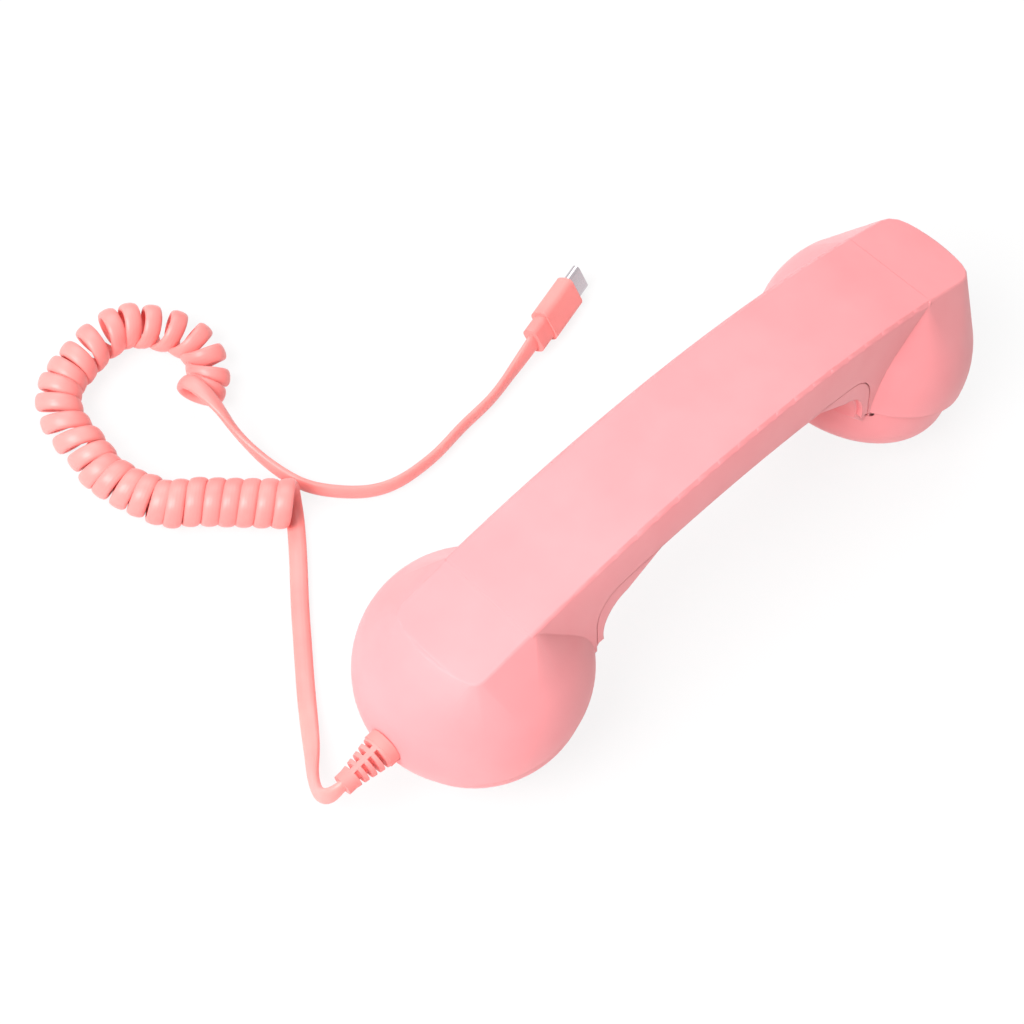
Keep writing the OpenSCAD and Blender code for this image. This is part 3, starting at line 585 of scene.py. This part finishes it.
@dataclass
class CurlyCord:
    """The flat cord: its lead from the handset, its coil and its tail to the plug.

    Sizes are in millimetres and angles in degrees. Each row of lead and tail is a place and a
    roll, 0 for flat. The guides are the coil's first and last rows that steer the lead and the
    tail into it, and the joins are how many rows are left out where they meet.
    """

    width: float = 5.0
    thick: float = 2.5
    sides: int = 22
    squareness: float = 2.25
    step: float = 1.3
    fine_step: float = 0.5
    rows_per_turn: int = 40
    guides: tuple[tuple[int, ...], ...] = ((0, 4, 8), (-9, -5, -1))
    joins: tuple[int, int] = (2, 3)
    passes: int = 2
    floor_gap: float = 0.12
    lift_reach: int = 3
    lift_passes: int = 4
    lead: tuple[tuple[float, ...], ...] = (
        (-110.8, 0, 19.9, 90), (-115, 0, 19.17, 90), (-119.5, 0, 18.38, 90), (-123.6, 0, 17.65, 90),
        (-126.2, 0.4, 16.3, 90), (-127.7, 1.8, 13.8, 88), (-127.5, 5.2, 9.8, 84), (-123.8, 11.2, 6.2, 70),
        (-118.7, 17.1, 4, 45), (-108.3, 30.3, 1.4, 8), (-96.7, 44.6, 1.3, 0), (-89.8, 53, 1.3, 0),
        (-80.4, 63.9, 1.3, 0),
    )
    turns: tuple[tuple[float, ...], ...] = (
        (-73.2, 76.9, 7.17, -132, 1), (-76.7, 80.3, 7.12, -132, 0), (-80.2, 83.7, 7.05, -133, 0),
        (-83.6, 87.0, 7.01, -133, 0), (-87.0, 90.3, 7.01, -132, 1), (-90.6, 93.7, 7.00, -131, 1),
        (-94.7, 96.7, 6.90, -134, 0), (-97.6, 99.6, 6.77, -139, -1), (-99.4, 104.5, 6.61, -146, -3),
        (-101.2, 108.9, 6.52, -154, -6), (-102.2, 114.2, 6.46, -164, -9), (-103.1, 118.6, 6.50, -175, -12),
        (-101.8, 123.9, 6.58, -184, -14), (-101.1, 130.5, 6.66, -192, -16), (-100.2, 137.2, 6.67, -202, -18),
        (-97.6, 143.6, 6.67, -216, -19), (-93.6, 148.0, 6.65, -233, -17), (-89.0, 150.4, 6.62, -247, -14),
        (-83.7, 151.8, 6.61, -254, -10), (-77.4, 153.3, 6.64, -262, -4), (-69.9, 153.8, 6.70, -275, 5),
        (-64.9, 152.5, 6.75, -287, 14), (-60.9, 148.6, 6.73, -296, 21), (-57.0, 143.3, 6.68, -309, 29),
        (-54.6, 137.2, 6.54, -332, 37), (-55.1, 131.4, 6.45, -364, 43), (-58.4, 125.5, 6.34, -397, 42),
        (-62.1, 121.9, 6.33, -423, 34), (-67.1, 121.2, 6.60, -440, 0),
    )
    tail: tuple[tuple[float, ...], ...] = (
        (-67.0, 111.6, 11.0, 40), (-67.1, 106.0, 8.0, 60), (-66.6, 96.3, 4.6, 80), (-65.0, 86.8, 2.9, 90),
        (-63.2, 80.5, 2.7, 90), (-60.9, 76.4, 2.7, 90), (-57.3, 72, 2.7, 90), (-51.1, 66.6, 2.7, 90),
        (-42.8, 63.4, 2.7, 90), (-34, 62.8, 2.7, 90), (-26.8, 63.2, 2.7, 90), (-15.8, 64.9, 2.7, 90),
        (-3.4, 66.2, 2.8, 90), (7.2, 68.6, 3.5, 100), (13.5, 70, 4.6, 114), (20.5, 71.87, 5.15, 124),
    )

    def helix(self) -> tuple[np.ndarray, np.ndarray]:
        """The turns, each where its top lies.

        Each row of turns gives the middle of a turn at its top, its outer radius, the compass
        direction of its outer side and how far its top leans ahead; the coil starts at a bottom
        and ends at a top. The rows are the rounded results of a fit to measured turns, not values
        chosen by hand.

        Returns:
            The places of the cord's middle and the directions out of the coil.
        """
        rows = np.array(self.turns, float)
        last = len(rows) - 1
        even = np.linspace(-0.5, last, self.rows_per_turn * last + self.rows_per_turn // 2 + 1)
        x, y, radius, azimuth, lean = spline(np.arange(last + 1.0), rows, even).T
        azimuth, lean, flat = np.radians(azimuth), np.radians(lean), np.zeros_like(x)
        away = np.stack([np.cos(azimuth), np.sin(azimuth), flat], 1)
        ahead = np.stack([np.sin(azimuth), -np.cos(azimuth), flat], 1)
        over = np.cos(lean)[:, None] * UP + np.sin(lean)[:, None] * ahead
        half = self.thick / 2
        centre = np.stack([x, y, half + (radius - half) * np.cos(lean)], 1)
        phase = math.pi / 2 - 2 * math.pi * even
        out = np.cos(phase)[:, None] * away + np.sin(phase)[:, None] * over
        return centre + (radius[:, None] - half) * out, out

    def stretch(self, rows: np.ndarray, flip: float) -> tuple[np.ndarray, np.ndarray]:
        """A stretch that lies on the table.

        Args:
            rows: places and rolls in degrees, 0 for flat.
            flip: 1 or -1, which face points out.

        Returns:
            The places of the cord's middle and the directions out of its face.
        """
        line = Route(rows, self.fine_step).rows
        d = headings(line[:, :3])
        s = np.cross(d, UP)
        s /= np.linalg.norm(s, axis=1, keepdims=True)
        u = np.cross(s, d)
        r = np.radians(line[:, 3:4])
        return line[:, :3], flip * (u * np.cos(r) - s * np.sin(r))

    def course(self) -> tuple[np.ndarray, np.ndarray]:
        """The whole cord's course at even steps.

        Returns:
            The places of its middle and the directions out of its face.
        """
        coil, out = self.helix()
        first, last = (np.pad(coil[list(rows)], ((0, 0), (0, 1))) for rows in self.guides)
        lead, lead_out = self.stretch(np.vstack([np.array(self.lead), first]), -1.0)
        stop = int(np.argmin(np.linalg.norm(lead - coil[0], axis=1))) - self.joins[0]
        tail, tail_out = self.stretch(np.vstack([last, np.array(self.tail)]), 1.0)
        begin = int(np.argmin(np.linalg.norm(tail - coil[-1], axis=1))) + self.joins[1]
        path = np.vstack([lead[:stop], coil, tail[begin:]])
        face = np.vstack([lead_out[:stop], out, tail_out[begin:]])
        run = distances(path)
        even = np.linspace(0, run[-1], round(run[-1] / self.step))
        both = np.stack([np.interp(even, run, column) for column in np.hstack([path, face]).T], 1)
        soften(both, self.passes)
        return both[:, :3], both[:, 3:]

    def raise_off_floor(self, path: np.ndarray, rings: np.ndarray) -> None:
        """Lifts the rows that would dip into the floor, with a soft run on either side.

        Args:
            path: the places of the cord's middle, which are changed.
            rings: the rings around them, which are changed.
        """
        lift = np.maximum(self.floor_gap - rings[:, :, 2].min(1), 0.0)
        shifts = range(-self.lift_reach, self.lift_reach + 1)
        lift = np.max([np.roll(lift, shift) for shift in shifts], axis=0)
        soften(lift, self.lift_passes)
        path[:, 2] += lift
        rings[:, :, 2] += lift[:, None]

    def build(self, jacket: bpy.types.Material) -> tuple[bpy.types.Object, np.ndarray]:
        """Makes the whole cord as one piece.

        Args:
            jacket: the cord's material.

        Returns:
            The cord and the places of its middle, in millimetres.
        """
        path, face = self.course()
        d = headings(path)
        face = face - d * (face * d).sum(1, keepdims=True)
        face /= np.linalg.norm(face, axis=1, keepdims=True)
        across = np.cross(d, face)
        shape = rounded_section(self.sides, self.squareness)
        rings = (
            path[:, None, :]
            + shape[None, :, 0:1] * self.width / 2 * across[:, None, :]
            + shape[None, :, 1:2] * self.thick / 2 * face[:, None, :]
        )
        self.raise_off_floor(path, rings)
        cord = loft("curly_cord", rings, distances(path))
        dress(cord, jacket)
        return cord, path


@dataclass
class NeckCheeks:
    """The flush cheeks of the front shell's two necks, in the curls of the rear shell.

    Sizes are in millimetres and angles in degrees. The arch is the radius of the back's arc and
    the height of its centre, and the curl is the centre and radius of the rear shell's corner. A
    small backing closes the slot between the shells behind each cheek's foot.
    """

    arch: tuple[float, float] = (325.76, -261.16)
    rear_depth: float = 12.7
    curl: tuple[float, float, float] = (44.6, 38.6, 10.0)
    necks: tuple[tuple[float, float], ...] = ((1.0, 41.3), (-1.0, 41.6))
    neck_z: float = 33.7
    hollow: float = 10.7
    hollow_span: tuple[float, float] = (-11.0, 80.0)
    start_x: float = 31.0
    foot_z: float = 31.6
    back: float = 15.3
    draft: float = 9.5
    gap: float = 0.18
    inset: float = 0.12
    thick: float = 3.0
    sharp: float = 30.0
    edge_points: int = 9
    arc_points: int = 14
    backing: tuple[float, float, float] = (3.8, 1.2, 4.4)
    backing_place: tuple[float, float, float] = (58.3, 19.0, 28.1)

    def outline(self, neck_x: float) -> np.ndarray:
        """One cheek's outline, seen from the side.

        Args:
            neck_x: how far the hollow of this neck lies from the middle.

        Returns:
            Places along and up, in millimetres, for the end on the positive side.
        """
        x, z, radius = self.curl
        reach, drop = self.arch
        edge = reach - self.rear_depth - self.gap
        top = math.asin(x / (reach - self.rear_depth - radius))
        sweep = np.linspace(math.asin(self.start_x / edge), top, self.edge_points)
        above = np.stack([edge * np.sin(sweep), drop + edge * np.cos(sweep)], 1)
        turn = np.linspace(math.pi / 2 - top, 0.0, self.arc_points)[1:]
        around = np.stack([x + (radius - self.gap) * np.cos(turn), z + (radius - self.gap) * np.sin(turn)], 1)
        foot = np.array([[x + radius - self.gap, self.foot_z]])
        under = np.linspace(*np.radians(self.hollow_span), self.arc_points)
        inner = np.stack([neck_x + self.hollow * np.cos(under), self.neck_z + self.hollow * np.sin(under)], 1)
        return np.vstack([above, around, foot, inner])

    def cheek(self, bm: bmesh.types.BMesh, end: float, side: float, flat: np.ndarray) -> None:
        """Adds one cheek to a bmesh.

        Args:
            bm: the bmesh, in metres.
            end: 1 or -1, the end along x.
            side: 1 or -1, the side along y.
            flat: the cheek's outline.
        """
        depth = self.arch[0] - np.hypot(flat[:, 0], flat[:, 1] - self.arch[1])
        half = self.back + depth * math.tan(math.radians(self.draft)) - self.inset
        rim = zip(flat, half, strict=True)
        row = [bm.verts.new((end * x * MM, side * y * MM, z * MM)) for (x, z), y in rim]
        grown = bmesh.ops.extrude_face_region(bm, geom=[bm.faces.new(row)])["geom"]
        inner = [item for item in grown if isinstance(item, bmesh.types.BMVert)]
        bmesh.ops.translate(bm, verts=inner, vec=(0.0, -side * self.thick * MM, 0.0))

    def back_up(self, bm: bmesh.types.BMesh, end: float, side: float) -> None:
        """Adds the backing behind one cheek's foot to a bmesh.

        Args:
            bm: the bmesh, in metres.
            end: 1 or -1, the end along x.
            side: 1 or -1, the side along y.
        """
        x, y, z = self.backing_place
        block = bmesh.ops.create_cube(bm, size=MM)["verts"]
        bmesh.ops.scale(bm, verts=block, vec=self.backing)
        bmesh.ops.translate(bm, verts=block, vec=(end * x * MM, side * y * MM, z * MM))

    def build(self, skin: bpy.types.Material) -> bpy.types.Object:
        """Makes the four cheeks as one piece.

        Args:
            skin: the shell's material.

        Returns:
            The piece.
        """
        bm = bmesh.new()
        for end, neck_x in self.necks:
            flat = self.outline(neck_x)
            for side in (1.0, -1.0):
                self.cheek(bm, end, side, flat)
            for side in (1.0, -1.0):
                self.back_up(bm, end, side)
        bmesh.ops.recalc_face_normals(bm, faces=bm.faces[:])
        piece = finish_mesh("neck_cheeks", bm, self.sharp)
        dress(piece, skin)
        return piece


class Wardrobe:
    """Every finish of the object, made once."""

    BOOTS = ("strain_relief", "plug_collar", "plug_overmould")

    def __init__(self) -> None:
        """Builds the materials, each under its slot's name."""
        finishes = {
            "pink_shell": SoftTouch("soft_pink", Hue.SHELL, Hue.SHELL_DEEP, soften=0.0005),
            "pink_plastic": SoftTouch("moulded_pink", Hue.SHELL, Hue.SHELL_DEEP, 0.1, 0.0002),
            "pink_cord": Sheath("cord_pink", Hue.CORD, Hue.CORD_DEEP),
            "dark_plastic": Moulded("graphite_plastic", Hue.GRAPHITE, (0.4, 0.55)),
            "steel": Metal("plated_steel", Hue.STEEL, (0.25, 0.4)),
            "plug_steel": Metal("satin_steel", Hue.STEEL, (0.22, 0.34), math.radians(15.4)),
            "contact_gold": Metal("gold_contacts", Hue.GOLD, (0.15, 0.25)),
            "black_rubber": Moulded("black_rubber", Hue.RUBBER, (0.6, 0.75)),
            "diaphragm_film": Moulded("film", Hue.FILM, (0.2, 0.3)),
            "board_green": Moulded("green_board", Hue.BOARD, (0.25, 0.4), 1500.0),
            "wire_sheath": Moulded("red_sheath", Hue.WIRE, (0.35, 0.5)),
        }
        self.slots = {slot: finish.material() for slot, finish in finishes.items()}
        self.boot = SoftTouch("boot_pink", Hue.CORD, Hue.CORD_DEEP, 0.12, 0.0001).material()

    def dress_nodes(self) -> None:
        """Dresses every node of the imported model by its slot."""
        for name, slot in SLOTS.items():
            node = frame["nodes"][name]
            dress(node, self.boot if name in self.BOOTS else self.slots[slot])
            smooth_node(node)
            report(node, slot)


@dataclass
class PlugEnd:
    """The plug's pieces, rolled about the plug's own axis to lie as the cord brings them.

    The place on the axis is in metres and the roll in degrees.
    """

    names: tuple[str, ...] = ("plug_collar", "plug_overmould", "plug_shell", "plug_tongue", "plug_contacts")
    place: tuple[float, float, float] = (0.04731, 0.07926, 0.00515)
    along: tuple[float, float, float] = (0.964095, 0.265556, 0.0)
    roll: float = -68.0

    def build(self) -> list[str]:
        """Copies the dressed nodes, rolls the copies and puts them in the nodes' place.

        Returns:
            The names of the new pieces.
        """
        shift = Matrix.Translation(self.place)
        turn = shift @ Matrix.Rotation(math.radians(self.roll), 4, Vector(self.along)) @ shift.inverted()
        made = []
        for name in self.names:
            node = frame["nodes"][name]
            piece = node.copy()
            piece.data = node.data.copy()
            piece.name = piece.data.name = "rolled_" + name
            piece.data.transform(turn)
            bpy.context.scene.collection.objects.link(piece)
            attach(piece, "handset")
            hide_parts(name)
            report(piece, SLOTS[name])
            made.append(piece.name)
        return made


def main() -> None:
    """Builds the scene in order."""
    logging.basicConfig(level=logging.INFO, format="%(name)s: %(message)s")
    Studio().build()
    wardrobe = Wardrobe()
    wardrobe.dress_nodes()
    plug = PlugEnd().build()
    cheeks = NeckCheeks().build(wardrobe.slots["pink_shell"])
    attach(cheeks, "handset")
    report(cheeks, "pink_shell")
    cord, path = CurlyCord().build(wardrobe.slots["pink_cord"])
    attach(cord, "handset")
    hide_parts("cord_lead", "cord_coil", "cord_tail")
    report(cord, "pink_cord")


if __name__ == "__main__":
    main()
